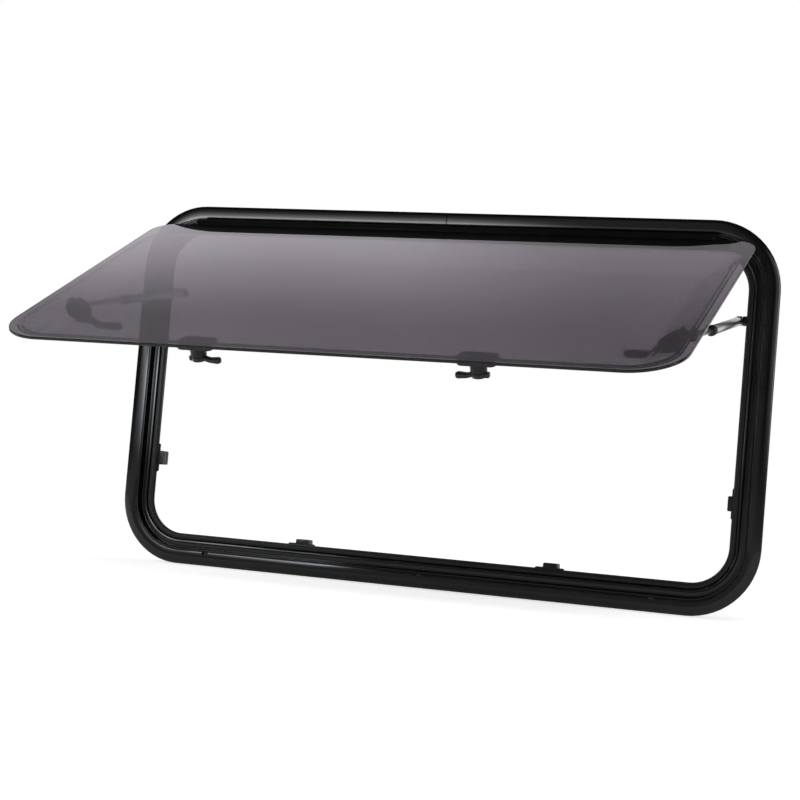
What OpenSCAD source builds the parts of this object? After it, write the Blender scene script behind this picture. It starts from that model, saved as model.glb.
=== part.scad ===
// Top-hung caravan window: a bent aluminium frame clamped through the side wall, with a
// double-skin acrylic sash swung open on two telescopic stays and held shut by four turn latches.
// Millimetres. X runs along the window, Y into the caravan, Z up. The origin is on the flange's
// back face, against the outer skin, at the middle of the top rail.
// The frame is drawn lying flat, outside face up, and stood upright at the end.

/* [Frame] */
// Overall width of the frame over its flange
frame_w = 1000; // [500:1:1600]
// Overall height of the frame over its flange
frame_h = 558; // [420:1:900]
// Radius of the flange's outer corners
corner_r = 100; // [85:1:140]
// Width of the flange that covers the cut in the wall
flange_w = 24; // [18:0.5:32]
// Height of the flange's crown above the skin
flange_t = 7; // [5:0.5:10]
// Height of the flange at its two edges
flange_edge = 3; // [2:0.5:5]
// Width of the rain groove inside the flange
groove_w = 9; // [6:0.5:14]
// Depth of the back of the groove and the ledge behind the skin
groove_d = 10; // [7:0.5:14]
// Width of the ledge, rib and all, that carries the seal
ledge_w = 13.5; // [12:0.5:20]
// Wall thickness of the extrusion
wall = 3; // [2:0.5:4]
// Depth of the spigot that passes through the caravan's side
spigot_d = 32; // [24:1:50]

/* [Sash] */
// Angle of the sash from shut, as it stands
open_deg = 63; // [20:0.5:75]
// Clearance round the shut sash
sash_gap = 6; // [5:0.5:10]
// Drop of the hinge line below the flange's top edge
hinge_drop = 30; // [28:0.5:40]
// Distance of the hinge line in front of the skin
hinge_out = 21; // [18:0.5:24]
// Height of the hinge profile above the visible sheet
profile_h = 38; // [30:0.5:44]
// Length over which each end of the profile's lower edge curves up to the sheet's corner
profile_curve = 100; // [60:1:140]
// Thickness of the outer sheet
sheet_t = 4; // [3:0.5:6]
// Thickness of the inner sheet
inner_t = 2.5; // [2:0.5:4]
// Depth of the sash from its outer face to its room side
sash_t = 27; // [20:0.5:30]
// Distance of the foot of the pan's sloping side from the sheet's edge
rim_w = 14; // [12:0.5:20]
// Width of the pan's sloping side
slope_w = 46; // [30:1:60]
// Corner radius of the sash beside the hinge
sash_top_r = 36; // [20:1:45]

/* [Stays] */
// Distance of each stay's plane from the opening's side
stay_in = 12.5; // [12:0.5:22]
// Drop of the stay's frame pivot below the flange's top edge
stay_drop = 139; // [110:1:180]
// Depth of the stay's frame pivot behind the skin
stay_back = 22; // [16:0.5:30]
// Distance of the stay's head from the hinge line
head_s = 312; // [300:1:380]
// Depth of the stay's head pivot behind the outer face
head_n = 28; // [24:0.5:32]
// Outer radius of the stay's tube
tube_r = 6.5; // [5:0.25:8]
// Radius of the stay's rod
rod_r = 3.5; // [2.5:0.25:4.5]
// Length from the frame pivot to the end of the ferrule
tube_len = 193; // [160:1:195]

/* [Latches] */
// Distance of the lower latches from the middle
latch_x = 197; // [120:1:320]
// Height of the lower latches above the sash's lower edge
latch_up = 74; // [74:1:100]
// Length of a lower latch's plate
latch_len = 53; // [46:1:70]
// Length of a lower lever from its pivot
lever_len = 32; // [28:1:50]
// Length of a side lever from its pivot
side_lever_len = 59; // [40:1:70]
// Drop of the side latches' pivot below the stay's head
side_drop = 26; // [26:1:34]
// Distance of the side latches' pivot inward from the stay
side_in = 21; // [18:1:26]

/* [Catches] */
// Distance of the lower catches from the middle
catch_x = 196; // [120:1:320]
// Height of the side catches above the frame's lower edge
catch_up = 161; // [140:1:220]
// Length of a catch's base
catch_len = 44; // [30:1:60]
// Distance of the outer drain slots from the middle
drain_x = 350; // [150:1:400]

/* [Hidden] */
$fn = 64;
eps = 0.01;
// The flange's top edge is half a flange above the origin
top_y = flange_w / 2;
mid_y = top_y - frame_h / 2;
inset = flange_w + groove_w + ledge_w;
rib_u = flange_w + groove_w;
rib_back = 0.6;
hinge_y = top_y - hinge_drop;
hinge_r = 4;
hook_gap = 0.3;
hook_r = 6.8;
// The shut sash keeps its gap to the flange's inner edge at the sides and below
sash_w = frame_w - 2 * (flange_w + sash_gap);
sash_s = frame_h - hinge_drop - flange_w - sash_gap;
sash_r = corner_r - flange_w - sash_gap;
rail_half = frame_w / 2 - corner_r + 6;
// Stay geometry in the flat drawing: pivot in the frame, pivot on the sash
stay_x = frame_w / 2 - inset - stay_in;
foot_y = top_y - stay_drop;
head_y = hinge_y - head_s * cos(open_deg) - head_n * sin(open_deg);
head_h = hinge_out + head_s * sin(open_deg) - head_n * cos(open_deg);
stay_len = sqrt(pow(head_y - foot_y, 2) + pow(head_h + stay_back, 2));
stay_tilt = atan2(foot_y - head_y, head_h + stay_back);
shut_len = sqrt(pow(hinge_y - head_s - foot_y, 2) + pow(hinge_out - head_n + stay_back, 2));
travel = stay_len - shut_len;
eye_w = 8;
eye_r = 5;
// The tube starts clear of the pivot, on a narrow neck
tube_foot = 10;
slide_gap = 0.1;
ferrule_len = 11;
// The rod starts this far above the frame pivot when the stay is shut
rod_foot = 18;
// Bracket plate, and the pin with its head
foot_l = 28;
foot_w = 20;
foot_t = 2.5;
pin_r = 3;
pin_head = 5;
// The inner sheet stops this far inside the outer one
rim_step = 10;
// Latch levels behind the outer face
plate_t = 6;
plate_w = 28;
plate_r = 8;
boss_r = 11;
boss_top = sash_t + 17;
lever_gap = 0.3;
lever_t = 7.2;
lever_w = 9;
nose = 14;
nose_w = 8;
// Stay head: block on the pan's side, foot under the ears, and the two ears
block_top = sash_t + 3;
block_in = slope_w + rim_w - 1;
block_out = 30;
block_half = 22;
eye_room = 5;
block_s = head_s + eye_r + eye_room;
foot_out = 20.5;
foot_in = 40;
foot_top = 20;
ear_t = 2.5;
ear_up = 6;
ear_top = head_n + eye_r + 1;
seat_gap = 0.05;
latch_s = sash_s - latch_up;
side_x = stay_x - side_in;
side_s = head_s + side_drop;
catch_h = 8;
catch_base = 2;
catch_back = 29;
drain_w = 12;
drain_h = 4.5;
drain_back = 3;
seal_r = 4;
seal_u = rib_u + wall + seal_r + 1;
// Web of the hinge rail, and how far it and the foot reach into the flange
web_t = 2;
bite = 1;
// Drop of the sheet's top corners below the hinge line, and the arc that ends the profile there
sheet_top = 4;
flat_half = sash_w / 2 - 25 - profile_curve;
end_r = (pow(profile_curve, 2) + pow(profile_h - sheet_top, 2)) / (2 * (profile_h - sheet_top));
// The hook's mouth, and the strip that holds the hinge profile to the sheet
mouth_w = 12;
strip_up = 18;
strip_down = 9;

// Stands the flat drawing upright: outside up becomes outside forward
module upright() {
    rotate([90, 0, 0])
        children();
}

// Carries a sash piece, drawn hanging from the hinge line at the origin, to its open place
module on_sash() {
    upright()
        translate([0, hinge_y, hinge_out])
            rotate([-open_deg, 0, 0])
                children();
}

// Carries a stay piece, drawn from its frame pivot up the Z axis, to its open place
module on_stay(side) {
    upright()
        translate([side * stay_x, foot_y, -stay_back])
            rotate([stay_tilt, 0, 0])
                children();
}

// Sweeps a section, drawn as (radius, height), round a rounded rectangle
module sweep_ring(w, h, r) {
    cx = w / 2 - r;
    cy = h / 2 - r;
    for (i = [0:3]) {
        sx = (i == 0 || i == 3) ? 1 : -1;
        sy = (i < 2) ? 1 : -1;
        run = (i % 2 == 0) ? 2 * cy : 2 * cx;
        translate([sx * cx, mid_y + sy * cy, 0])
            rotate([0, 0, 90 * i]) {
                rotate_extrude(angle = 90)
                    children();
                rotate([90, 0, 0])
                    linear_extrude(height = run)
                        children();
            }
    }
}

// A rectangle from (u0, h0) to (u1, h1), with u measured in from the flange's outer edge
module strip(u0, u1, h0, h1) {
    translate([corner_r - u1, h0])
        square([u1 - u0, h1 - h0]);
}

// Section of the frame: crowned flange, rain groove, rib, ledge and the spigot behind
module frame_section() {
    rise = flange_t - flange_edge;
    crown_r = (pow(flange_w / 2, 2) + rise * rise) / (2 * rise);
    union() {
        intersection() {
            translate([corner_r - flange_w / 2, flange_t - crown_r])
                circle(r = crown_r, $fn = 96);
            strip(0, flange_w, 0, flange_t + 1);
        }
        strip(flange_w - eps, flange_w + 1.5, -groove_d, flange_edge);
        strip(flange_w - eps, inset, -groove_d, wall - groove_d);
        strip(rib_u, rib_u + wall, -groove_d, -rib_back);
        strip(rib_u - wall, rib_u, -spigot_d, eps - groove_d);
    }
}

// One bent extrusion, joined at the middle of the top rail, with three drain slots below
module frame_ring() {
    color([0.03, 0.03, 0.03])
        upright()
            difference() {
                sweep_ring(frame_w, frame_h, corner_r)
                    frame_section();
                for (x = [-drain_x, 0, drain_x])
                    translate([x - drain_w / 2, top_y - frame_h + flange_w - drain_h - drain_back, 1.2])
                        cube([drain_w, drain_h, flange_t]);
            }
}

// Rubber bulb seated on the ledge, all the way round
module frame_seal() {
    color([0.05, 0.05, 0.05])
        upright()
            sweep_ring(frame_w, frame_h, corner_r)
                intersection() {
                    translate([corner_r - seal_u, wall - groove_d + 0.5])
                        circle(r = seal_r, $fn = 48);
                    strip(seal_u - seal_r, seal_u + seal_r, wall - groove_d, 0);
                }
}

// Round bead under the flange on which the sash's hook turns, with its web to the frame
module hinge_rail() {
    color([0.03, 0.03, 0.03])
        upright()
            translate([-rail_half, 0, 0])
                rotate([90, 0, 90])
                    linear_extrude(height = 2 * rail_half) {
                        translate([hinge_y, hinge_out])
                            circle(r = hinge_r, $fn = 48);
                        translate([hinge_y - web_t / 2, -bite])
                            square([web_t, hinge_out]);
                        translate([hinge_y - web_t / 2, -bite])
                            square([hinge_drop - flange_w - 0.8, web_t]);
                    }
}

// Catch: a base screwed to the ledge's back and a block behind it; drawn on a floor at the ledge's edge
module catch_shape() {
    translate([-catch_len / 2, catch_base - ledge_w + wall, -groove_d - catch_base])
        cube([catch_len, ledge_w - wall, catch_base]);
    translate([-catch_len / 4, catch_base - ledge_w + wall, -catch_back])
        cube([catch_len / 2, catch_h - catch_base + ledge_w - wall, catch_back - groove_d - eps]);
}

module bottom_catch(side) {
    color([0.04, 0.04, 0.04])
        upright()
            translate([side * catch_x, top_y - frame_h + inset, 0])
                catch_shape();
}

module side_catch(side) {
    color([0.04, 0.04, 0.04])
        upright()
            translate([side * (frame_w / 2 - inset), top_y - frame_h + catch_up, 0])
                rotate([0, 0, side * 90])
                    catch_shape();
}

// Bracket on the spigot's inner wall, with the pin on which the tube's eye turns
module stay_bracket(side) {
    reach = stay_in + ledge_w;
    color([0.04, 0.04, 0.04])
        upright()
            translate([side * (frame_w / 2 - rib_u), foot_y, -stay_back])
                rotate([0, -side * 90, 0]) {
                    translate([-foot_w / 2, -foot_l / 2, 0])
                        cube([foot_w, foot_l, foot_t]);
                    cylinder(h = reach - eye_w / 2 - 1, r = eye_r + 2);
                    cylinder(h = reach + eye_w / 2 + 1, r = pin_r);
                    translate([0, 0, reach + eye_w / 2 + 0.5])
                        cylinder(h = pin_r, r = pin_head);
                }
}

// Outline of the sash from a top edge at s0, moved in all round, tight corners above and wide below
module sash_outline(s0, in) {
    w = sash_w / 2 - in;
    top_r = max(sash_top_r - in, 4);
    low_r = max(sash_r - in, 4);
    s1 = sash_s - in;
    translate([-w, low_r - s1])
        square([2 * w, s1 - s0 - low_r - top_r]);
    translate([-w + top_r, -s0 - top_r])
        square([2 * (w - top_r), top_r]);
    translate([-w + low_r, -s1])
        square([2 * (w - low_r), low_r]);
    for (x = [-1, 1]) {
        translate([x * (w - top_r), -s0 - top_r])
            circle(r = top_r);
        translate([x * (w - low_r), -s1 + low_r])
            circle(r = low_r);
    }
}

// Face of the hinge profile from a level up to the hinge line, its lower edge curved up at both ends
module profile_face(s0) {
    intersection() {
        translate([-flat_half - profile_curve, -profile_h])
            square([2 * (flat_half + profile_curve), profile_h - s0]);
        union() {
            translate([-flat_half, -profile_h])
                square([2 * flat_half, profile_h]);
            for (x = [-1, 1])
                translate([x * flat_half, end_r - profile_h])
                    circle(r = end_r, $fn = 256);
        }
    }
}

// Outer sheet of smoked acrylic
module outer_sheet() {
    color([0.3, 0.28, 0.3, 0.5])
        on_sash()
            translate([0, 0, -sheet_t])
                linear_extrude(height = sheet_t)
                    difference() {
                        sash_outline(sheet_top, 0);
                        profile_face(-eps);
                    }
}

// Depth of the pan's room side at a distance in from the sheet's edge
function pan_depth(in) = sheet_t + inner_t + (sash_t - sheet_t - inner_t) * (in - rim_w) / slope_w;

// Tapered body of the pan, from its foot at a level to its room side, drawn in by a wall
module pan_body(foot, top, wall_in) {
    top_s = profile_h + rim_w + wall_in;
    half_x = sash_w / 2 - rim_w - wall_in;
    half_y = (sash_s - rim_w - wall_in - top_s) / 2;
    mid = top_s + half_y;
    translate([0, -mid, -foot])
        mirror([0, 0, 1])
            linear_extrude(height = top - foot, slices = 1, scale = [1 - slope_w / half_x, 1 - slope_w / half_y])
                translate([0, mid])
                    sash_outline(top_s, rim_w + wall_in);
}

// Inner sheet: a pan with sloping sides whose rim is bonded to the outer sheet
module inner_sheet() {
    color([0.5, 0.48, 0.5, 0.4])
        on_sash()
            difference() {
                union() {
                    translate([0, 0, -sheet_t - inner_t])
                        linear_extrude(height = inner_t)
                            sash_outline(profile_h + rim_step, rim_step);
                    pan_body(sheet_t + inner_t - eps, sash_t, 0);
                }
                pan_body(sheet_t - eps, sash_t - inner_t, inner_t);
            }
}

// Black hinge profile along the sash's top, with a hook that turns on the frame's bead
module sash_hinge_profile() {
    half = rail_half - 2;
    color([0.03, 0.03, 0.03])
        on_sash() {
            translate([-half, 0, 0])
                rotate([90, 0, 90])
                    linear_extrude(height = 2 * half)
                        difference() {
                            circle(r = hook_r, $fn = 64);
                            circle(r = hinge_r + hook_gap, $fn = 48);
                            polygon([[0, 0], [-mouth_w / 3, -mouth_w],
                                     [mouth_w, -mouth_w], [mouth_w, mouth_w / 3]]);
                        }
            translate([0, 0, -sheet_t])
                linear_extrude(height = sheet_t)
                    profile_face(hinge_r + hook_gap + 1);
            translate([-sash_w / 2 + sash_top_r, -profile_h - strip_down, -sheet_t - inner_t])
                cube([sash_w - 2 * sash_top_r, strip_down + strip_up, inner_t]);
        }
}

// Plate and boss of a lower latch, screwed to the sash's room side
module latch_plate(x) {
    color([0.04, 0.04, 0.04])
        on_sash()
            translate([x, -latch_s, 0]) {
                translate([0, 0, -sash_t - plate_t])
                    linear_extrude(height = plate_t) {
                        square([latch_len - 2 * plate_r, plate_w], center = true);
                        square([latch_len, plate_w - 2 * plate_r], center = true);
                        for (i = [-1, 1], j = [-1, 1])
                            translate([i * (latch_len / 2 - plate_r), j * (plate_w / 2 - plate_r)])
                                circle(r = plate_r);
                    }
                translate([0, 0, -boss_top])
                    cylinder(h = boss_top - sash_t, r = boss_r);
            }
}

// Lever with its stub nose; drawn pointing along +X from the pivot
module lever_shape(len) {
    translate([0, 0, -boss_top - lever_gap - lever_t]) {
        cylinder(h = lever_t, r = boss_r - 1);
        linear_extrude(height = lever_t) {
            translate([0, -lever_w / 2])
                square([len - lever_w / 2, lever_w]);
            translate([len - lever_w / 2, 0])
                circle(r = lever_w / 2);
            translate([-nose, -nose_w / 2])
                square([nose, nose_w]);
        }
    }
}

// Lower lever, pointing at the middle of the window as in the photograph
module latch_lever(x) {
    color([0.04, 0.04, 0.04])
        on_sash()
            translate([x, -latch_s, 0])
                rotate([0, 0, x < 0 ? 0 : 180])
                    lever_shape(lever_len);
}

// Bar along the sash on the pan's side, between two distances in from the edge and two drops
module side_bar(side, out, in, top, s0, s1) {
    x0 = side * (sash_w / 2 - out);
    x1 = side * (sash_w / 2 - in);
    translate([0, -s0, 0])
        rotate([90, 0, 0])
            linear_extrude(height = s1 - s0)
                polygon([[x0, -pan_depth(out) - seat_gap], [x1, -pan_depth(in) - seat_gap],
                         [x1, -top], [x0, -top]]);
}

// Stay head: a block on the pan's side with a latch's boss, and two ears for the rod's eye
module stay_head(side) {
    ears_s = block_s + 1;
    color([0.04, 0.04, 0.04])
        on_sash() {
            side_bar(side, block_out, block_in, block_top, block_s, side_s + block_half);
            side_bar(side, foot_out, foot_in, foot_top, head_s - ear_up, ears_s);
            for (d = [-1, 1])
                translate([side * stay_x + d * (eye_w + ear_t + 1) / 2 - ear_t / 2, -ears_s, -ear_top])
                    cube([ear_t, ears_s - head_s + ear_up, ear_top - foot_top + 1]);
            translate([side * side_x, -side_s, -boss_top])
                cylinder(h = boss_top - sash_t - 1, r = boss_r);
        }
}

// Side lever, pointing at the middle of the window as in the photograph
module side_lever(side) {
    color([0.04, 0.04, 0.04])
        on_sash()
            translate([side * side_x, -side_s, 0])
                rotate([0, 0, side < 0 ? 0 : 180])
                    lever_shape(side_lever_len);
}

// Tube of the stay with the flat eye that turns on the bracket's pin
module stay_tube(side) {
    color([0.75, 0.75, 0.76])
        on_stay(side)
            difference() {
                union() {
                    translate([0, 0, tube_foot])
                        cylinder(h = tube_len - ferrule_len - tube_foot, r = tube_r);
                    cylinder(h = tube_foot + 1, r = eye_w / 2);
                    translate([-eye_w / 2, 0, 0])
                        rotate([0, 90, 0])
                            cylinder(h = eye_w, r = eye_r + 2);
                }
                translate([-eye_w, 0, 0])
                    rotate([0, 90, 0])
                        cylinder(h = 2 * eye_w, r = pin_r + 0.05);
                translate([0, 0, rod_foot - 4])
                    cylinder(h = tube_len, r = rod_r + slide_gap);
            }
}

// Black ferrule that closes the tube and locks the rod
module stay_ferrule(side) {
    color([0.04, 0.04, 0.04])
        on_stay(side)
            translate([0, 0, tube_len - ferrule_len])
                difference() {
                    cylinder(h = ferrule_len, r = tube_r + 1);
                    translate([0, 0, -1])
                        cylinder(h = ferrule_len + 2, r = rod_r + slide_gap);
                }
}

// Sliding rod with the eye that stands between the head's ears
module stay_rod(side) {
    color([0.7, 0.7, 0.72])
        on_stay(side) {
            translate([0, 0, rod_foot + travel])
                cylinder(h = stay_len - rod_foot - travel - 3, r = rod_r);
            translate([-eye_w / 2, 0, stay_len])
                rotate([0, 90, 0])
                    cylinder(h = eye_w, r = eye_r);
        }
}

frame_ring();
frame_seal();
hinge_rail();
bottom_catch(-1);  // catch_bottom_left
bottom_catch(1);  // catch_bottom_right
side_catch(-1);  // catch_side_left
side_catch(1);  // catch_side_right
stay_bracket(-1);  // stay_bracket_left
stay_bracket(1);  // stay_bracket_right
outer_sheet();
inner_sheet();
sash_hinge_profile();
latch_plate(-latch_x);  // latch_plate_left
latch_plate(latch_x);  // latch_plate_right
stay_head(-1);  // stay_head_left
stay_head(1);  // stay_head_right
latch_lever(-latch_x);  // latch_lever_left
latch_lever(latch_x);  // latch_lever_right
side_lever(-1);  // side_lever_left
side_lever(1);  // side_lever_right
stay_tube(-1);  // stay_tube_left
stay_tube(1);  // stay_tube_right
stay_ferrule(-1);  // stay_ferrule_left
stay_ferrule(1);  // stay_ferrule_right
stay_rod(-1);  // stay_rod_left
stay_rod(1);  // stay_rod_right
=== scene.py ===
import math
import bmesh
import bpy
import numpy as np
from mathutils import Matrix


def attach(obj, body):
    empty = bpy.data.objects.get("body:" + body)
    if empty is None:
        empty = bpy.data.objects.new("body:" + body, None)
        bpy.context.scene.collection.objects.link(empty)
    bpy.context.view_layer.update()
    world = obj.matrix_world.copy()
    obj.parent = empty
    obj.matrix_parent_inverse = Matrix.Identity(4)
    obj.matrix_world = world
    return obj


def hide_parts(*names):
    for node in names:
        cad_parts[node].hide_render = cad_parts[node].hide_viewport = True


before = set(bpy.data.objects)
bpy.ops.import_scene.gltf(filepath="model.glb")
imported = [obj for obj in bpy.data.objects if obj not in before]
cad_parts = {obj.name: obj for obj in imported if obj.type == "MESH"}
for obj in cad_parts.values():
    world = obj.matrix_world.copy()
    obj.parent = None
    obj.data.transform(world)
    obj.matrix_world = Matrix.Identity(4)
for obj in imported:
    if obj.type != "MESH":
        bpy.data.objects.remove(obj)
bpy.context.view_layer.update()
scene = bpy.context.scene
scene.view_settings.view_transform = "Standard"

# The camera stands a little below the top rail and well to the right, with a long lens, so that the
# sash is seen from just above its outer face and the frame's inner walls show on the left.
camera_data = bpy.data.cameras.new("view_of_the_window")
camera_data.lens = 84.1787
camera_data.sensor_width = 36.0
camera_data.clip_start = 0.05
camera = bpy.data.objects.new("view_of_the_window", camera_data)
camera.location = (0.953802, -2.598351, -0.412735)
camera.rotation_euler = [math.radians(a) for a in (92.926039, -4.853518, 20.920352)]
scene.collection.objects.link(camera)
scene.camera = camera


# The studio: a white floor that keeps the window's shadow, white all round for the camera and for what
# is seen through the acrylic, and dark flags and soft boxes that only the glossy surfaces see.
def put(tree, kind, settings=None, **sockets):
    """Adds a node, sets its properties, and sets or links its inputs: Base_Color stands for Base Color, and _1
    for the second input."""
    made = tree.nodes.new(kind)
    for key, value in (settings or {}).items():
        setattr(made, key, value)
    for key, value in sockets.items():
        socket = made.inputs[int(key[1:])] if key[1:].isdigit() else made.inputs[key.replace("_", " ")]
        if isinstance(value, bpy.types.NodeSocket):
            tree.links.new(value, socket)
        else:
            socket.default_value = value
    return made


def sum_of(tree, operation, a, b=0.0, c=0.0):
    """One Math node's result: a and b joined by the operation, with c where it takes three."""
    return put(tree, "ShaderNodeMath", {"operation": operation}, _0=a, _1=b, _2=c).outputs[0]


def ramp(tree, value, start, stop, low, high):
    """Smooth step of a value: low before start, high after stop, and an S-curve between them."""
    made = put(tree, "ShaderNodeMapRange", {"interpolation_type": "SMOOTHSTEP"},
               _0=value, _1=start, _2=stop, _3=low, _4=high)
    return made.outputs[0]


def place_of(tree):
    """The point on the piece, in metres, as three separate values."""
    here = put(tree, "ShaderNodeTexCoord").outputs["Object"]
    return put(tree, "ShaderNodeSeparateXYZ", _0=here).outputs


def stage_plane(name, corners, material):
    """A flat four-cornered stage piece."""
    mesh = bpy.data.meshes.new(name)
    mesh.from_pydata(corners, [], [(0, 1, 2, 3)])
    mesh.materials.append(material)
    plane = bpy.data.objects.new(name, mesh)
    scene.collection.objects.link(plane)
    return plane


def blank_material(name):
    """A material with only its output node."""
    material = bpy.data.materials.new(name)
    material.use_nodes = True
    material.node_tree.nodes.clear()
    return material, material.node_tree, material.node_tree.nodes.new("ShaderNodeOutputMaterial")


def shown_from_front(tree, out, face):
    """Gives the material's output the face's shader before the plane, and nothing behind it."""
    clear = put(tree, "ShaderNodeBsdfTransparent").outputs[0]
    behind = put(tree, "ShaderNodeNewGeometry").outputs["Backfacing"]
    mixed = put(tree, "ShaderNodeMixShader", _0=behind, _1=face, _2=clear).outputs[0]
    tree.links.new(mixed, out.inputs[0])


air_for_matt, air_for_gloss = 0.5, 0.02
world = bpy.data.worlds.new("studio_air")
world.use_nodes = True
scene.world = world
air = world.node_tree
air.nodes.clear()
path = put(air, "ShaderNodeLightPath").outputs
seen = sum_of(air, "MAXIMUM", path["Is Camera Ray"], path["Is Transmission Ray"])
unseen = sum_of(air, "MULTIPLY_ADD", path["Is Glossy Ray"], air_for_gloss - air_for_matt, air_for_matt)
strength = sum_of(air, "MAXIMUM", seen, unseen)
sky = put(air, "ShaderNodeBackground", Color=(1, 1, 1, 1), Strength=strength)
put(air, "ShaderNodeOutputWorld", Surface=sky.outputs[0])

floor_level, floor_reach = -0.5465, 6.0
floor_glow, floor_mirrored = 0.62, 0.35
floor_material, tree, out = blank_material("white_floor")
x, y, z = place_of(tree)
path = put(tree, "ShaderNodeLightPath").outputs
mirrored = sum_of(tree, "MULTIPLY", ramp(tree, x, -0.9, -0.15, 1.0, 0.4), floor_mirrored)
change = sum_of(tree, "SUBTRACT", mirrored, floor_glow)
glow = sum_of(tree, "MULTIPLY_ADD", path["Is Glossy Ray"], change, floor_glow)
matt = put(tree, "ShaderNodeBsdfDiffuse", Color=(0.8, 0.8, 0.8, 1))
lit = put(tree, "ShaderNodeEmission", Color=(1, 1, 1, 1), Strength=glow)
both = put(tree, "ShaderNodeAddShader", _0=matt.outputs[0], _1=lit.outputs[0])
shown_from_front(tree, out, both.outputs[0])
floor_corners = np.array([(-1, -1, 0), (1, -1, 0), (1, 1, 0), (-1, 1, 0)]) * floor_reach + [0, 0, floor_level]
stage_plane("floor", floor_corners.tolist(), floor_material)


def soft_box(name, corners, across, up, colour=(1.0, 1.0, 1.0), airy=False):
    """A glowing card that only glossy surfaces before it see: its glow is a product of two smooth fades, and an
    airy one hides nothing behind it."""
    material, tree, out = blank_material(name)
    x, y, z = place_of(tree)
    glow = sum_of(tree, "MULTIPLY", across(tree, x, y, z), up(tree, x, y, z))
    face = put(tree, "ShaderNodeEmission", Color=(*colour, 1), Strength=glow).outputs[0]
    if airy:
        clear = put(tree, "ShaderNodeBsdfTransparent").outputs[0]
        face = put(tree, "ShaderNodeAddShader", _0=face, _1=clear).outputs[0]
    shown_from_front(tree, out, face)
    card = stage_plane(name, corners, material)
    card.visible_camera = False
    card.visible_diffuse = False
    card.visible_transmission = False
    card.visible_shadow = False


def fades(tree, value, *steps):
    """Product of smooth steps of one value, each given as start, stop, low and high."""
    glow = ramp(tree, value, *steps[0])
    for step in steps[1:]:
        glow = sum_of(tree, "MULTIPLY", glow, ramp(tree, value, *step))
    return glow


def decay(tree, value, place, rate):
    """Exponential fall of a value from one at a place: exp(-rate (value - place))."""
    return sum_of(tree, "EXPONENT", sum_of(tree, "MULTIPLY_ADD", value, -rate, rate * place))


def straight(tree, value):
    """The value for light that goes straight to the frame: not through acrylic, nor to the open sash close by."""
    path = put(tree, "ShaderNodeLightPath").outputs
    outside = sum_of(tree, "LESS_THAN", path["Transmission Depth"], 0.5)
    far = ramp(tree, path["Ray Length"], 0.2, 0.26, 0.0, 1.0)
    return sum_of(tree, "MULTIPLY", value, sum_of(tree, "MULTIPLY", outside, far))


def upright(x0, x1, y, z0, z1):
    """Corners of an upright card across the window's width, from its lower left, that faces the viewer."""
    return [(x0, y, z0), (x1, y, z0), (x1, y, z1), (x0, y, z1)]


# The sky card fades upward and to the right, and the sash reflects it. The back wall is what grazing edges
# and the stays' tubes see. The right box lights the right rail, and the two low boxes the top and left ones.
soft_box("sky_card", upright(-3.5, 2.5, 1.0, 0.75, 2.2),
         lambda t, x, y, z: fades(t, x, (-0.75, -0.1, 1.15, 0.5), (-1.6, -0.9, 1.35, 1.0)),
         lambda t, x, y, z: ramp(t, z, 0.9, 1.38, 1.3, 0.24), (1.0, 0.94, 1.03))
soft_box("back_wall", upright(-3.0, 3.0, 1.5, -0.54, 0.9),
         lambda t, x, y, z: fades(t, x, (-2.5, -1.5, 0.3, 1.0)),
         lambda t, x, y, z: ramp(t, z, 0.3, 0.9, 1.0, 0.5))
soft_box("right_box", [(1.3, -1.9, 1.4), (2.5, -0.2, 1.4), (2.5, -0.2, -0.5), (1.3, -1.9, -0.5)],
         lambda t, x, y, z: fades(t, y, (-0.9, -0.3, 0.9, 5.0), (-1.9, -1.4, 0.2, 1.0)),
         lambda t, x, y, z: ramp(t, z, -0.38, -0.05, 0.0, 1.0))
soft_box("front_wall", upright(-4.0, 2.5, -3.3, -0.5, 4.0)[::-1],
         lambda t, x, y, z: ramp(t, x, -0.8, 1.0, 0.3, 0.04),
         lambda t, x, y, z: ramp(t, z, -0.5, 0.2, 0.7, 1.0))
soft_box("low_box_top", upright(-0.75, 0.15, -0.35, -0.182, 0.3)[::-1],
         lambda t, x, y, z: straight(t, fades(t, x, (-0.75, -0.6, 0.0, 1.0), (-0.12, 0.12, 1.0, 0.0))),
         lambda t, x, y, z: sum_of(t, "MULTIPLY", decay(t, z, -0.17, 8.5),
                                   fades(t, z, (-0.182, -0.165, 0.0, 11.5), (0.12, 0.28, 1.0, 0.0))), airy=True)
soft_box("low_box_left", upright(-0.75, -0.28, -0.3, -0.42, -0.19)[::-1],
         lambda t, x, y, z: sum_of(t, "MULTIPLY", decay(t, x, -0.36, -9.0), ramp(t, x, -0.33, -0.28, 1.0, 0.0)),
         lambda t, x, y, z: straight(t, fades(t, z, (-0.4, -0.22, 0.15, 11.0), (-0.21, -0.19, 1.0, 0.0))),
         (0.86, 0.93, 1.0), airy=True)

lamp_aim = np.array((0.0, -0.1, -0.3))
for name, place, size, power in (
        ("key_lamp", (1.4, -2.2, 2.2), 1.2, 20.0),
        ("fill_lamp", (-2.0, -1.6, 1.6), 1.5, 12.0)):
    lamp_data = bpy.data.lights.new(name, "AREA")
    lamp_data.shape = "SQUARE"
    lamp_data.size = size
    lamp_data.energy = power
    lamp = bpy.data.objects.new(name, lamp_data)
    lamp.location = place
    toward = lamp_aim - place
    tilt = math.atan2(math.hypot(toward[0], toward[1]), -toward[2])
    lamp.rotation_euler = (tilt, 0.0, math.atan2(toward[1], toward[0]) - math.pi / 2)
    lamp.visible_glossy = False
    scene.collection.objects.link(lamp)


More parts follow.
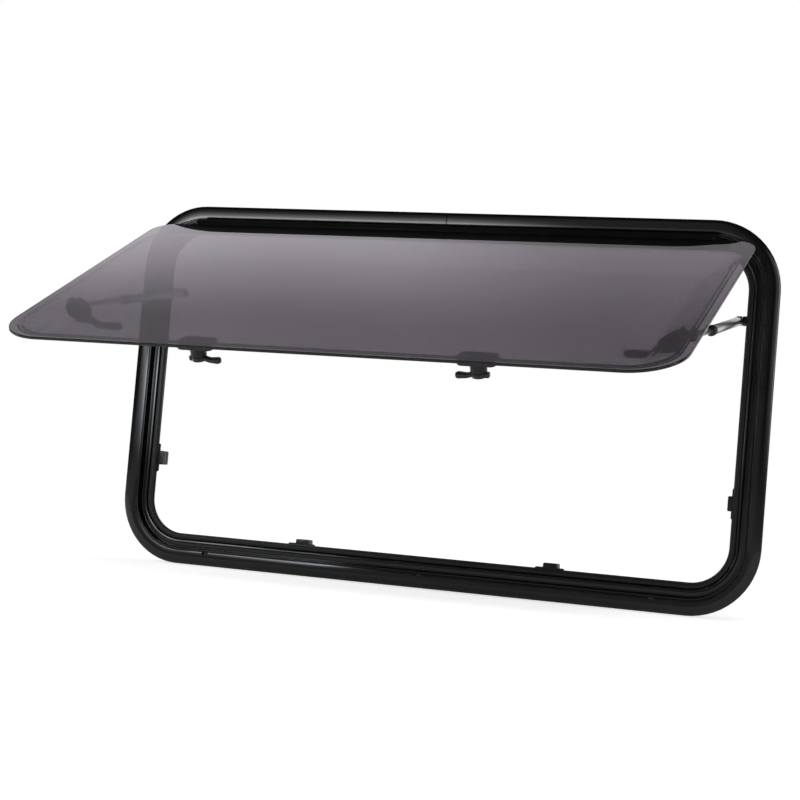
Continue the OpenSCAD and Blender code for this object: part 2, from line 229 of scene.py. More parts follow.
# The frame is one aluminium extrusion bent round a former and powder coated gloss black: a crowned flange
# with a bead along its inner edge, a rain groove, a rib, the seal's ledge and a spigot through the wall.
# Its two ends meet in a butt joint at the middle of the top rail, and three slots drain the groove below.
frame_w, frame_h, corner_r = 1000.0, 558.0, 100.0
top_z, bottom_z = 12.0, -546.0
ledge_u, joint_gap = 46.5, 0.3
crown_r, crown_middle, crown_top = 20.0, 12.0, 7.0
slot_w, slot_h, slot_z = 11.0, 3.6, -526.9
slot_places = np.array([-350.0, 0.0, 350.0])


def group(name, inputs, outputs):
    """An empty shader node group with named float inputs and outputs."""
    made = bpy.data.node_groups.new(name, "ShaderNodeTree")
    for label, value in inputs:
        made.interface.new_socket(label, in_out="INPUT", socket_type="NodeSocketFloat").default_value = value
    for label, kind in outputs:
        made.interface.new_socket(label, in_out="OUTPUT", socket_type=kind)
    return made, made.nodes.new("NodeGroupInput"), made.nodes.new("NodeGroupOutput")


grain_group, gin, gout = group("surface_grain", [("Size", 0.001), ("Detail", 2.0)],
                               [("Height", "NodeSocketFloat")])
here = put(grain_group, "ShaderNodeTexCoord").outputs["Object"]
fineness = sum_of(grain_group, "DIVIDE", 1.0, gin.outputs["Size"])
grain = put(grain_group, "ShaderNodeTexNoise", Vector=here, Scale=fineness, Detail=gin.outputs["Detail"],
            Roughness=0.6)
grain_group.links.new(grain.outputs[0], gout.inputs["Height"])

wear_group, gin, gout = group("edge_wear", [("Start", 0.53), ("Stop", 0.62), ("Patch", 0.02)],
                              [("Mask", "NodeSocketFloat")])
edges = put(wear_group, "ShaderNodeNewGeometry").outputs["Pointiness"]
here = put(wear_group, "ShaderNodeTexCoord").outputs["Object"]
patch = put(wear_group, "ShaderNodeTexNoise", Vector=here, Detail=4.0,
            Scale=sum_of(wear_group, "DIVIDE", 1.0, gin.outputs["Patch"]))
rubbed = put(wear_group, "ShaderNodeMapRange", {"interpolation_type": "SMOOTHSTEP"}, _0=edges,
             _1=gin.outputs["Start"], _2=gin.outputs["Stop"], _3=0.0, _4=1.0).outputs[0]
broken = ramp(wear_group, patch.outputs[0], 0.42, 0.62, 0.15, 1.0)
wear_group.links.new(sum_of(wear_group, "MULTIPLY", rubbed, broken), gout.inputs["Mask"])

dust_group, gin, gout = group("settled_dust", [("Amount", 0.1), ("Patch", 0.05)], [("Mask", "NodeSocketFloat")])
facing = put(dust_group, "ShaderNodeTexCoord").outputs
upward = put(dust_group, "ShaderNodeSeparateXYZ", _0=facing["Normal"]).outputs["Z"]
drift = put(dust_group, "ShaderNodeTexNoise", Vector=facing["Object"], Detail=5.0,
            Scale=sum_of(dust_group, "DIVIDE", 1.0, gin.outputs["Patch"]))
level = sum_of(dust_group, "MULTIPLY", ramp(dust_group, upward, 0.2, 1.0, 0.0, 1.0),
               ramp(dust_group, drift.outputs[0], 0.35, 0.7, 0.2, 1.0))
dust_group.links.new(sum_of(dust_group, "MULTIPLY", level, gin.outputs["Amount"]), gout.inputs["Mask"])


def blend(tree, amount, low, high):
    """A colour between two, each a colour's socket or its value."""
    made = put(tree, "ShaderNodeMix", {"data_type": "RGBA"}, _0=amount, _6=low, _7=high)
    return made.outputs[2]


def finish(name, colour, worn, roughness, grain_size, grain_depth, dust=0.02, spread=0.08, metallic=0.0,
           gloss=0.5):
    """Material of a coated, moulded or metal piece: its colour varies slowly, lightens where edges are rubbed
    and under dust; its roughness wanders by the spread; a fine grain gives the bump."""
    dust_colour = (0.35, 0.34, 0.32, 1)
    material, tree, out = blank_material(name)
    fine = put(tree, "ShaderNodeGroup", {"node_tree": grain_group}, Size=grain_size, Detail=3.0)
    broad = put(tree, "ShaderNodeGroup", {"node_tree": grain_group}, Size=0.06, Detail=4.0)
    wear = put(tree, "ShaderNodeGroup", {"node_tree": wear_group}, Start=0.53, Stop=0.64, Patch=0.02)
    film = put(tree, "ShaderNodeGroup", {"node_tree": dust_group}, Amount=dust, Patch=0.04)
    darker = tuple(0.8 * c for c in colour)
    base = blend(tree, broad.outputs[0], (*darker, 1), (*colour, 1))
    rubbed = blend(tree, wear.outputs[0], base, (*worn, 1))
    dusty = blend(tree, film.outputs[0], rubbed, dust_colour)
    wander = ramp(tree, broad.outputs[0], 0.3, 0.7, roughness - spread / 2, roughness + spread / 2)
    bump = put(tree, "ShaderNodeBump", Strength=0.35, Distance=grain_depth, Height=fine.outputs[0])
    shade = put(tree, "ShaderNodeBsdfPrincipled", Base_Color=dusty, Roughness=wander,
                Metallic=metallic, Specular_IOR_Level=gloss, Normal=bump.outputs[0])
    tree.links.new(shade.outputs[0], out.inputs[0])
    return material


frame_black = finish("frame_black", (0.003, 0.003, 0.0033), (0.012, 0.012, 0.013), 0.18, 0.0009, 0.00002,
                     dust=0.003, spread=0.05)


def rounded(corners, radii, steps=5):
    """Outline through the corners, each turned by an arc: arc centre + start arm * sin((1-k) turn) / sin(turn)
    + end arm * sin(k turn) / sin(turn), with k from 0 to 1."""
    c = np.asarray(corners, float)
    r = np.maximum(np.ones(len(c)) * radii, 0.01)[:, None]
    a, b = np.roll(c, 1, 0) - c, np.roll(c, -1, 0) - c
    a, b = a / np.linalg.norm(a, axis=1)[:, None], b / np.linalg.norm(b, axis=1)[:, None]
    half = np.arccos(np.clip((a * b).sum(1), -1, 1))[:, None] / 2
    centre = c + (a + b) / np.linalg.norm(a + b, axis=1)[:, None] * r / np.sin(half)
    start, end = c + a * r / np.tan(half) - centre, c + b * r / np.tan(half) - centre
    turn = (math.pi - 2 * half)[:, None]
    k = np.linspace(0, 1, steps)[None, :, None]
    arc = (np.sin((1 - k) * turn) * start[:, None] + np.sin(k * turn) * end[:, None]) / np.sin(turn)
    return (centre[:, None] + arc).reshape(-1, 2)


def shrunk(outline, inset):
    """The outline moved in by a distance: each point goes along the mean of its two sides' inward normals."""
    p = np.asarray(outline, float)
    step = np.linalg.norm(np.roll(p, -1, 0) - p, axis=1) > 1e-4
    p = p[step]
    side = np.roll(p, -1, 0) - p
    side /= np.linalg.norm(side, axis=1)[:, None]
    area = (p[:, 0] * np.roll(p[:, 1], -1) - p[:, 1] * np.roll(p[:, 0], -1)).sum()
    normal = np.stack([-side[:, 1], side[:, 0]], 1) * np.sign(area)
    mean = normal + np.roll(normal, 1, 0)
    mean /= np.maximum((mean * mean).sum(1), 0.4)[:, None] / 2
    return p, p + mean * inset


def ring_path(steps=16, gap=0.0):
    """Points (x, z) on the flange's outer edge and inward normals, clockwise from the middle of the top rail:
    four quarter circles of the corner radius joined by straight sides."""
    turn = np.radians(90 - np.arange(4)[:, None] * 90 - np.linspace(0, 90, steps)[None, :]).ravel()
    out = np.stack([np.cos(turn), np.sin(turn)], 1)
    quarter = np.repeat(np.array([(1, 1), (1, -1), (-1, -1), (-1, 1)]), steps, 0)
    centre = quarter * [frame_w / 2 - corner_r, frame_h / 2 - corner_r] + [0, (top_z + bottom_z) / 2]
    points, normals = centre + out * corner_r, -out
    ends = np.array([[gap / 2 + step, top_z] for step in (0.0, 0.5, 1.5, 40.0)])
    down = np.array([[0.0, -1.0]] * len(ends))
    mirror = ends[::-1] * [-1, 1]
    return np.vstack([ends, points, mirror]), np.vstack([down, normals, down])


def tube_faces(rows, cols, closed=False):
    """Faces of a grid of points, numbered row by row. Four-cornered ones join each row round and to the next,
    and the first and last rows are joined too where closed, or else each gets a flat end."""
    i = np.arange(rows if closed else rows - 1)[:, None]
    j = np.arange(cols)[None, :]
    i2, j2 = (i + 1) % rows, (j + 1) % cols
    quads = np.stack([i * cols + j, i * cols + j2, i2 * cols + j2, i2 * cols + j], -1)
    ends = [] if closed else [list(range(cols)), list(range((rows - 1) * cols, rows * cols))]
    return quads.reshape(-1, 4).tolist() + ends


def shell_mesh(name, grid, closed=False):
    """A mesh in metres from a grid of points in millimetres, doubles merged and then its faces turned out."""
    mesh = bpy.data.meshes.new(name)
    mesh.from_pydata((grid.reshape(-1, 3) * 0.001).tolist(), [], tube_faces(*grid.shape[:2], closed))
    one = bmesh.new()
    one.from_mesh(mesh)
    bmesh.ops.remove_doubles(one, verts=one.verts, dist=2e-6)
    bmesh.ops.recalc_face_normals(one, faces=one.faces)
    one.to_mesh(mesh)
    one.free()
    return mesh


def joined(name, meshes):
    """One mesh from several, which are removed."""
    whole = bmesh.new()
    for mesh in meshes:
        whole.from_mesh(mesh)
        bpy.data.meshes.remove(mesh)
    mesh = bpy.data.meshes.new(name)
    whole.to_mesh(mesh)
    whole.free()
    return mesh


def piece(name, shells, material, body, nodes=(), smooth=38):
    """One piece from shells, each a grid of points (rows of closed loops) whose ends are closed flat, or a grid
    and True where its rows close on themselves. Edges sharper than the smooth angle stay sharp, and so do the
    flat ends."""
    pairs = [shell if isinstance(shell, tuple) else (shell, False) for shell in shells]
    mesh = joined(name, [shell_mesh("shell", grid, closed) for grid, closed in pairs])
    mesh.shade_smooth()
    mesh.set_sharp_from_angle(angle=math.radians(smooth))
    sides = np.zeros(len(mesh.polygons), int)
    mesh.polygons.foreach_get("loop_total", sides)
    mesh.polygons.foreach_set("use_smooth", sides <= 4)
    mesh.materials.append(material)
    made = bpy.data.objects.new(name, mesh)
    scene.collection.objects.link(made)
    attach(made, body)
    if nodes:
        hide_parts(*nodes)
    return made


def along_ring(points, normals, section):
    """The section (u inward, h outward) carried round the ring: point + u * normal in x and z, and y = -h."""
    u, h = section[..., 0], section[..., 1]
    u, h = np.broadcast_to(u, (len(points), u.shape[-1])), np.broadcast_to(h, (len(points), h.shape[-1]))
    x = points[:, :1] + u * normals[:, :1]
    z = points[:, 1:] + u * normals[:, 1:]
    return np.stack([x, -h, z], -1)


crown_u = np.linspace(1.6, 20.6, 16)
crown = np.stack([crown_u, np.sqrt(crown_r ** 2 - (crown_u - crown_middle) ** 2) + crown_top - crown_r], 1)
corners = np.vstack([[(0, 0), (0, 2.4)], crown,
                     [(21.7, 3.7), (22.4, 4.9), (24.0, 4.9), (25.4, -7), (33, -7), (33, -0.6), (34.3, -0.6),
                      (36.4, -1.6), (36.6, -7), (46.5, -7), (46.5, -10), (33, -10), (33, -32), (30, -32), (30, -10),
                      (24, -10), (24, 0)]])
radii = np.array([0.3, 1.2] + [0.0] * 16 + [0.35, 0.6, 0.7, 1.2, 1.0, 0.9, 1.2, 0.8, 0.8, 0.9, 0.5, 1.0, 0.5, 0.5,
                                         0.6, 0.5, 0.3])
section, tight = shrunk(rounded(corners, radii), 0.35)
points, normals = ring_path(gap=joint_gap)
sections = np.broadcast_to(section, (len(points),) + section.shape).copy()
sections[0] = sections[-1] = tight
ring = piece("bent_frame", [along_ring(points, normals, sections)], frame_black, "frame",
             ("frame_ring",))


def box_outline(w, h, r, x=0.0, y=0.0, steps=5):
    """A rounded rectangle round a point."""
    return rounded([(x - w / 2, y - h / 2), (x + w / 2, y - h / 2), (x + w / 2, y + h / 2), (x - w / 2, y + h / 2)],
                   r, steps)


slot = box_outline(slot_w, slot_h, 1.7, steps=6)
slots = [np.stack([np.column_stack([slot[:, 0] + place, np.full(len(slot), y), slot[:, 1] + slot_z])
                   for y in (-12.0, -1.5)]) for place in slot_places]
cutter_mesh = joined("slot_cutter", [shell_mesh("one_slot", walls) for walls in slots])
cutter = bpy.data.objects.new("slot_cutter", cutter_mesh)
scene.collection.objects.link(cutter)
cutting = ring.modifiers.new("drain_slots", "BOOLEAN")
cutting.object = cutter
cutting.solver = "EXACT"
bpy.context.view_layer.update()
carved = bpy.data.meshes.new_from_object(ring.evaluated_get(bpy.context.evaluated_depsgraph_get()))
ring.modifiers.clear()
uncut, ring.data = ring.data, carved
bpy.data.meshes.remove(uncut)
carved.name = "bent_frame"
bpy.data.objects.remove(cutter)
bpy.data.meshes.remove(cutter_mesh)

# The seal is a hollow bulb of black sponge rubber pushed onto the ledge all the way round. It is matt and
# a little wavy, and it was left relaxed because the sash is open.
seal_rubber = finish("seal_rubber", (0.009, 0.009, 0.009), (0.02, 0.02, 0.02), 0.45, 0.0006, 0.00004,
                     dust=0.006, spread=0.1, gloss=0.3)
bulb = rounded([(37.2, -7), (37.4, -3.6), (39.4, -2.5), (42.8, -2.6), (45.0, -4.4), (45.0, -7)],
               [0.4, 1.6, 1.8, 2.0, 1.8, 0.6], 7)
points, normals = ring_path()
piece("bulb_seal", [along_ring(points[1:-1], normals[1:-1], bulb)], seal_rubber, "frame",
      ("frame_seal",), smooth=60)

# The hinge rail is the part of the frame along its top that the sash's hook turns on. It keeps the mesh that
# the CAD gives it and is coated together with the frame.
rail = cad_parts["hinge_rail"].data
rail.materials.clear()
rail.materials.append(frame_black)

# Four catches of black glass-filled nylon, screwed behind the ledge: a thin base with a block standing
# up from it, its top rounded over and its sides drawn in a little.
catch_x, catch_z = 196.0, -385.0
fitting_black = finish("fitting_black", (0.004, 0.004, 0.004), (0.012, 0.012, 0.012), 0.4, 0.0005, 0.00003,
                       dust=0.004, spread=0.1, gloss=0.4)


def stack(outline, levels):
    """Closed loops from one outline: each level gives an inset and a height, and the loops pile up along it."""
    p = shrunk(outline, 0.0)[0]
    loops = [np.column_stack([shrunk(p, inset)[1], np.full(len(p), height)]) for inset, height in levels]
    return np.stack(loops)


def round_bar(profile, steps=32):
    """A turned shape: (radius, height) pairs carried round the height's axis."""
    turn = np.linspace(0, 2 * math.pi, steps, endpoint=False)
    radius, height = np.asarray(profile, float).T
    return np.stack([radius[:, None] * np.cos(turn), radius[:, None] * np.sin(turn),
                     height[:, None] * np.ones(steps)], -1)


screw_profile = [(0.1, 0.55), (1.1, 0.5), (1.3, 1.2), (2.0, 1.1), (2.7, 0.7), (3.0, 0.2), (3.0, -0.4),
                 (0.1, -0.4)]
base = stack(box_outline(44, 10.5, 2.5, 0, -3.25), [(0.0, -10.0), (0.0, -11.5), (0.15, -11.85), (0.5, -12.0)])
block = stack(box_outline(22, 19, 2.4, 0, -19.5), [(0.0, -8.5), (0.3, 5.6), (0.6, 7.0), (1.2, 7.8), (2.2, 8.0)])
block = block[..., [0, 2, 1]]
screws = [round_bar(screw_profile) * [1, 1, -1] + [x, -3.2, -12.0] for x in (-17.0, 17.0)]


def on_bottom_rail(p, side):
    """A catch's points (along, inward, outward) on the bottom rail's ledge, left or right of the middle."""
    return np.stack([p[..., 0] + side * catch_x, -p[..., 2], bottom_z + ledge_u + p[..., 1]], -1)


def on_side_rail(p, side):
    """A catch's points (along, inward, outward) on a side rail's ledge."""
    return np.stack([side * (frame_w / 2 - ledge_u - p[..., 1]), -p[..., 2], p[..., 0] + catch_z], -1)


for rail_name, place in (("bottom", on_bottom_rail), ("side", on_side_rail)):
    for side_name, side in (("left", -1), ("right", 1)):
        name = rail_name + "_" + side_name
        piece("catch_block_" + name, [place(shell, side) for shell in [base, block] + screws], fitting_black,
              "frame", ("catch_" + name,))

# Each stay turns on a shouldered pin that is riveted into a small steel plate on the spigot's inner wall.
# Plate, shoulder and pin head are black.
pivot_y, pivot_z, stay_x, wall_x = 22.0, -127.0, 441.0, 467.0
for name, side in (("left", -1), ("right", 1)):
    plate = stack(box_outline(20, 28, 4, pivot_y, pivot_z), [(0, 0), (0, 1.9), (0.2, 2.3), (0.6, 2.5)])
    pin = round_bar([(0.1, 0), (8.5, 0), (8.5, 1.5), (7.4, 4), (7.0, 8), (7.0, 20.4), (6.6, 21), (3.0, 21),
                     (3.0, 30.6), (5.0, 30.6), (5.0, 32.2), (4.2, 33.1), (2.2, 33.5), (0.1, 33.5)])
    pin = pin + [pivot_y, pivot_z, 0]
    rivets = [round_bar([(0.1, 2), (2.2, 2), (2.2, 2.8), (1.4, 3.3), (0.1, 3.5)]) + [pivot_y + a, pivot_z + b, 0]
              for a, b in ((6.5, 10.0), (6.5, -10.0))]
    piece("stay_bracket_pin_" + name,
          [np.stack([side * (wall_x - p[..., 2]), p[..., 0], p[..., 1]], -1) for p in [plate, pin] + rivets],
          fitting_black, "frame", ("stay_bracket_" + name,))

# The outer sheet is 4 mm smoked cast acrylic, saw cut, with polished and slightly rounded edges. Its top edge
# follows the hinge profile, which curves up at both ends to the sheet's tight top corners.
hinge_y, hinge_z, open_angle = -21.0, -18.0, math.radians(63)
half_w, sash_s, top_r, low_r, sheet_t = 470.0, 498.0, 36.0, 70.0, 4.0
profile_s, flat_half, bend_half, end_r = 38.0, 345.0, 442.6, 164.06
top_corner_s, top_corner_start = 40.0, 17.5


def to_sash(p):
    """Points (x, drop along the sash, depth behind its outer face) turned to the sash's open place: from the
    hinge, y is depth cos - drop sin and z is -drop cos - depth sin of the opening angle."""
    drop, depth = p[..., 1], p[..., 2]
    s, c = math.sin(open_angle), math.cos(open_angle)
    return np.stack([p[..., 0], hinge_y - drop * s + depth * c, hinge_z - drop * c - depth * s], -1)


bend_x = np.linspace(flat_half, bend_half, 14)
bend = np.stack([bend_x, profile_s - end_r + np.sqrt(end_r ** 2 - (bend_x - flat_half) ** 2)], 1)
turn = np.radians(np.linspace(top_corner_start, 90, 12))
top_corner = np.stack([half_w - top_r + top_r * np.sin(turn), top_corner_s - top_r * np.cos(turn)], 1)
turn = np.radians(np.linspace(0, 90, 20))
low_corner = np.stack([half_w - low_r + low_r * np.cos(turn), sash_s - low_r + low_r * np.sin(turn)], 1)
right_half = np.vstack([bend, top_corner, low_corner])
sheet_outline = np.vstack([right_half, right_half[::-1] * [-1, 1]])


def acrylic(name, tint, haze, ripple):
    """Clear or smoked acrylic: light passes through tinted, with a faint haze that wanders over the sheet and
    the slightest ripple of a formed surface."""
    material, tree, out = blank_material(name)
    broad = put(tree, "ShaderNodeGroup", {"node_tree": grain_group}, Size=0.12, Detail=2.0)
    fine = put(tree, "ShaderNodeGroup", {"node_tree": grain_group}, Size=0.02, Detail=2.0)
    paler = tuple(min(1.0, 1.06 * c) for c in tint)
    colour = blend(tree, broad.outputs[0], (*tint, 1), (*paler, 1))
    rough = ramp(tree, fine.outputs[0], 0.3, 0.8, 0.0, haze)
    bump = put(tree, "ShaderNodeBump", Strength=0.2, Distance=ripple, Height=broad.outputs[0])
    shade = put(tree, "ShaderNodeBsdfPrincipled", Base_Color=colour, Roughness=rough, IOR=1.49,
                Transmission_Weight=1.0, Normal=bump.outputs[0])
    tree.links.new(shade.outputs[0], out.inputs[0])
    return material


smoked = acrylic("acrylic_outer", (0.111, 0.1, 0.114), 0.03, 0.0002)
clear_sheet = acrylic("acrylic_inner", (0.94, 0.94, 0.95), 0.003, 0.0001)
edge_levels = [(0.9, 0.0), (0.3, 0.18), (0.0, 0.8), (0.0, sheet_t - 0.8), (0.3, sheet_t - 0.18), (0.9, sheet_t)]
piece("smoked_sheet", [to_sash(stack(sheet_outline, edge_levels))], smoked, "sash",
      ("outer_sheet",), smooth=50)

# The inner sheet is 2.5 mm clear acrylic drawn warm into a shallow pan: a flat rim welded to the outer
# sheet, sides that slope in, and a flat floor 27 mm behind the outer face that carries the latches.
rim_in, foot_in, floor_in, pan_depth, wall = 10.0, 14.0, 60.0, 27.0, 2.5
rim_back, weld = sheet_t + wall, 0.05


def pan_loop(inset, depth):
    """The pan's outline at an inset from the sheet's edge, its corners tighter as it goes in, at one depth."""
    low, top = max(low_r - 0.7 * inset, 8), max(34 - 0.3 * inset, 8)
    x, s0, s1 = half_w - inset, profile_s + inset, sash_s - inset
    p = rounded([(-x, s0), (x, s0), (x, s1), (-x, s1)], [top, top, low, low], 36)
    return np.column_stack([p, np.full(len(p), depth)])


side_k = np.array([0.0, 0.04, 0.1, 0.5, 0.9, 0.96, 1.0])
side_n = np.array([0.0, 0.01, 0.07, 0.5, 0.93, 0.99, 1.0])
slope_in, slope_n = side_k * (floor_in - foot_in), side_n * (pan_depth - rim_back)
outer_side = [pan_loop(foot_in + k, rim_back + n) for k, n in zip(slope_in, slope_n)]
inner_side = [pan_loop(foot_in + wall + k, sheet_t + weld + n) for k, n in zip(slope_in[::-1], slope_n[::-1])]
rim = [pan_loop(rim_in + inset, depth) for inset, depth in
       ((0.2, sheet_t + weld), (0.0, 4.3), (0.6, 5.4), (3.0, rim_back))]
piece("clear_pan", [to_sash(np.stack(inner_side + rim + outer_side))], clear_sheet, "sash",
      ("inner_sheet",), smooth=1)

# The hinge profile is a black extrusion along the sash's top: a flat face flush with the sheet, a hook that
# turns on the frame's bead, and a strip behind that is bonded to the sheet.
face_half, hook_half, hook_r, hook_bore = 443.2, 404.0, 6.8, 4.3
face_bend = bend[bend[:, 1] > 5.6]
face = np.vstack([[(-face_half, 5.3), (face_half, 5.3)], face_bend[::-1], face_bend * [-1, 1]])
face_levels = [(0.5, 0.0), (0.12, 0.15), (0.0, 0.5), (0.0, 4.0)]
hook_turn = np.radians(np.linspace(-62, 172, 40))
arc = np.stack([np.cos(hook_turn), np.sin(hook_turn)], 1)
hook = np.vstack([hook_r * arc, hook_bore * arc[::-1]])
hook_end = shrunk(hook, 0.3)[1]
hook_loops = np.stack([np.column_stack([np.full(len(h), x), -h[:, 0], -h[:, 1]]) for x, h in (
    (-hook_half, hook_end), (0.4 - hook_half, hook), (hook_half - 0.4, hook), (hook_half, hook_end))])
strip = stack(box_outline(868, 27, 1.5, 0, 33.5), [(0, 4.0), (0, 6.1), (0.4, 6.5)])
web = stack(box_outline(808, 3.6, 0.6, 0, 5.9), [(0, 0.4), (0, 4.0)])
profile_black = finish("profile_black", (0.004, 0.004, 0.004), (0.01, 0.01, 0.01), 0.55, 0.0006, 0.00003,
                       dust=0.001, spread=0.1, gloss=0.02)
piece("sash_hinge_extrusion", [to_sash(p) for p in (stack(face, face_levels), hook_loops, strip, web)],
      profile_black, "sash", ("sash_hinge_profile",))

# The lower latches are moulded nylon: an oblong base screwed to the pan's floor, its sides bevelled, with a
# round boss. Each carries a turning lever with a cranked arm and a rounded, slightly thicker tip.
lever_black = finish("lever_black", (0.004, 0.004, 0.0043), (0.014, 0.014, 0.014), 0.3, 0.0005, 0.00002,
                     dust=0.004, spread=0.08)
latch_x, latch_s, latch_w, latch_h = 197.0, 424.0, 53.0, 28.0


def lever(length, hub_n, drop, rise, wide, thick, bend=0.38, waist=0.13):
    """A cranked lever along +x from its pivot: rounded rectangles whose centre follows an S-curve in depth,
    drop before the crank and rise after it, over a share of the length. They narrow at the waist and round off
    at the tip as a half circle does. A hub disc and a short nose start at depth hub_n."""
    tip = 0.14
    k = np.concatenate([np.linspace(0, 1 - tip, 14), 1 - tip + tip * np.sin(np.radians(np.linspace(12, 90, 7)))])
    x = k * length
    ease = np.clip((k - 0.18) / bend, 0, 1)
    depth = drop + (rise - drop) * (ease * ease * (3 - 2 * ease))
    end = np.sqrt(np.clip(1 - ((k - 1 + tip) / tip).clip(0, 1) ** 2, 0.02, 1))
    wide = wide * (1.0 - waist * np.sin(np.clip(k * 1.3, 0, 1) * math.pi)) * end
    thick = thick * (1.0 - 0.2 * np.sin(np.clip(k * 1.2, 0, 1) * math.pi)) * (0.35 + 0.65 * end)
    unit = box_outline(1, 1, 0.32, 0, 0, 6)
    arm = np.stack([x[:, None] * np.ones(len(unit)), unit[:, 0] * wide[:, None],
                    depth[:, None] + unit[:, 1] * thick[:, None]], -1)
    hub = round_bar([(0.1, 0.0), (9.2, 0.0), (9.8, 0.6), (9.8, 5.2), (9.3, 6.1), (8.2, 6.6), (3.4, 6.6),
                     (3.0, 5.8), (0.1, 5.8)]) + [0, 0, hub_n]
    nose = stack(box_outline(14, 8, 2.0, -7, 0), [(0.4, 0.1), (0, 0.5), (0, 5.6), (0.8, 6.5)]) + [0, 0, hub_n]
    return [arm, hub, nose]


for name, side in (("left", -1), ("right", 1)):
    spot = np.array([side * latch_x, latch_s, 0.0])
    oblong = stack(box_outline(latch_w, latch_h, 8),
                   [(0, pan_depth + 0.05), (0.0, 30.5), (1.0, 32.0), (4.5, 33.4), (6.5, 33.8)])
    boss = round_bar([(0.1, pan_depth), (12.8, 32.2), (11.6, 33.4), (11.0, 35.5), (10.8, 43.2), (10.3, 43.8),
                      (0.1, 44)])
    heads = [round_bar(screw_profile) + [x, 0, 31.9] for x in (-19.0, 19.0)]
    piece("latch_base_" + name, [to_sash(p + spot) for p in [oblong, boss] + heads], fitting_black, "sash",
          ("latch_plate_" + name,))
    arm = lever(32.0, 44.4, 47.0, 49.6, 10.0, 8.4)
    piece("latch_arm_" + name, [to_sash(p * [-side, 1, 1] + spot) for p in arm], lever_black,
          "latch_lever_" + name, ("latch_lever_" + name,))

# The stay heads are larger mouldings on the pan's sloping sides: an egg-shaped cover over the screws, two
# ears that take the rod's eye, and a boss for the side latch with its long cranked lever.
side_x, side_s, head_s, head_n, eye_w = 420.0, 338.0, 312.0, 28.0, 8.0


def pan_side(x):
    """Depth of the pan's sloping side at a distance from the middle."""
    return rim_back + (pan_depth - rim_back) * (half_w - np.abs(x) - foot_in) / (floor_in - foot_in)


def ear_beside(outline, x, way):
    """An ear: its outline at x, carried away from the rod's eye and pulled in towards the outer side."""
    levels = [(0.0, 0.3), (0.3, 0.0), (2.6, 0.0), (3.8, 0.7), (4.2, 1.8)]
    rings = [(x + way * out, shrunk(outline, inset)[1]) for out, inset in levels]
    return np.stack([np.column_stack([np.full(len(ring), place), ring]) for place, ring in rings])


def egg(x, s, half_x, half_s, top):
    """An egg-shaped cover: a ring round (x, s), wider at its lower end, that draws in by a power of the cosine
    of its rise while its depth goes from the pan's side to the top by a power of the sine."""
    turn = np.linspace(0, 2 * math.pi, 48, endpoint=False)
    up = np.radians(np.linspace(0, 88, 14))[:, None]
    ring_x = x + half_x * np.cos(up) ** 0.45 * np.sin(turn) * (1 - 0.1 * np.cos(turn))
    ring_s = s - half_s * np.cos(up) ** 0.5 * np.cos(turn)
    foot = pan_side(np.clip(ring_x[0], 411, stay_x)) + 0.1
    return np.stack([ring_x, ring_s, foot + (top - foot) * np.sin(up) ** 0.7], -1)


for name, side in (("left", -1), ("right", 1)):
    cover = egg(425.0, 341.0, 15.5, 20.5, 33.0) * [side, 1, 1]
    ear = rounded([(318, 14.0), (330, 13.0), (330, 29), (318, 33.5), (306, 33.5), (306, 25.0)], [2, 1, 2, 6, 5, 5],
                  6)
    ears = [ear_beside(ear, side * stay_x + way * (eye_w + 1) / 2, way) for way in (-1, 1)]
    spot = np.array([side * side_x, side_s, 0.0])
    boss = round_bar([(0.1, 22), (13.0, 27.5), (11.8, 29.5), (11.2, 31), (10.8, 34.4), (10.3, 35.0), (0.1, 35.2)])
    piece("stay_head_cover_" + name, [to_sash(p) for p in [cover, boss + spot] + ears], fitting_black, "sash",
          ("stay_head_" + name,))
    arm = lever(59.0, 35.5, 39.5, 47.5, 12.0, 10.0, bend=0.2, waist=0.05)
    piece("side_arm_" + name, [to_sash(p * [-side, 1, 1] + spot) for p in arm], lever_black,
          "side_lever_" + name, ("side_lever_" + name,))

# The telescopic stays: a satin anodised tube with a flattened eye at the frame, a black locking ferrule on
# its end, and a steel rod that slides in it. The rod's black moulded eye stands between the head's ears.
tube_r, tube_end, bore_r, ferrule_end = 6.5, 182.0, 3.6, 193.0
rod_r, rod_start, eye_r = 3.5, 128.3, 5.0
reach = to_sash(np.array([0.0, head_s, head_n])) - [0, pivot_y, pivot_z]
stay_len = float(np.linalg.norm(reach))
run = reach / stay_len
stay_silver = finish("stay_silver", (0.62, 0.62, 0.63), (0.75, 0.75, 0.76), 0.3, 0.0004, 0.00001, dust=0.02,
                     spread=0.08, metallic=1.0)
rod_steel = finish("rod_steel", (0.4, 0.4, 0.41), (0.6, 0.6, 0.61), 0.25, 0.0004, 0.00001, dust=0.01,
                   spread=0.05, metallic=1.0)


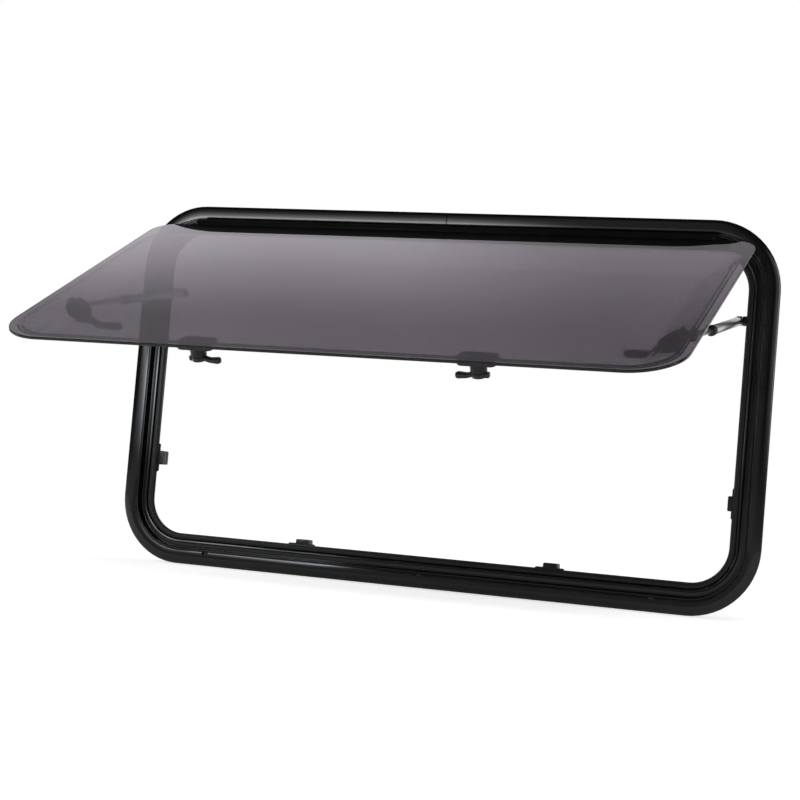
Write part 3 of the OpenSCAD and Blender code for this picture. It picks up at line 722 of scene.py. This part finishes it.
def to_stay(p, side):
    """Points (x, across, along) of a stay placed from its pivot in the frame towards the head."""
    across, along = p[..., 1], p[..., 2]
    return np.stack([side * stay_x + p[..., 0], pivot_y + across * run[2] + along * run[1],
                     pivot_z - across * run[1] + along * run[2]], -1)


def eye(radius, width, bore, centre):
    """A flat ring round the cross pin: (radius, x) pairs carried round the x axis at a place along the stay.
    Its rows close on themselves."""
    r = np.array([bore, bore, radius - 0.5, radius, radius, radius - 0.5])
    w = np.array([-1, 1, 1, 0.88, -0.88, -1]) * width / 2
    turn = np.linspace(0, 2 * math.pi, 40, endpoint=False)[:, None]
    return np.stack([w * np.ones_like(turn), r * np.sin(turn), centre + r * np.cos(turn)], -1)


for name, side in (("left", -1), ("right", 1)):
    tube = round_bar([(bore_r, 12), (4.6, 12), (5.8, 14), (tube_r, 17), (tube_r, tube_end - 4), (6.2, 178.6),
                      (6.2, 180), (tube_r, 180.6), (tube_r, tube_end), (bore_r, tube_end)], 40)
    neck = stack(box_outline(7.6, 9, 2), [(0, 5.4), (0, 13)])
    foot_eye = (to_stay(eye(7.0, eye_w, 3.05, 0.0), side), True)
    piece("stay_tube_body_" + name, [to_stay(tube, side), to_stay(neck, side), foot_eye], stay_silver,
          "stay_tube_" + name, ("stay_tube_" + name,))
    ferrule = round_bar([(bore_r, tube_end), (6.9, tube_end), (7.5, 182.6), (7.5, 185), (7.1, 185.4),
                         (7.1, 186.4), (7.5, 186.8), (7.5, 190), (6.6, 192), (5.2, ferrule_end),
                         (bore_r, ferrule_end)], 40)
    piece("locking_ferrule_" + name, [to_stay(ferrule, side)], fitting_black, "stay_tube_" + name,
          ("stay_ferrule_" + name,))
    rod = round_bar([(0.1, rod_start), (3.1, rod_start), (rod_r, rod_start + 0.6), (rod_r, stay_len - eye_r),
                     (3.3, stay_len - 4)], 28)
    piece("sliding_rod_" + name, [to_stay(rod, side)], rod_steel, "stay_rod_" + name,
          ("stay_rod_" + name,))
    head_eye = (to_stay(eye(eye_r, eye_w, 2.0, stay_len), side), True)
    piece("rod_eye_" + name, [head_eye], fitting_black, "stay_rod_" + name)
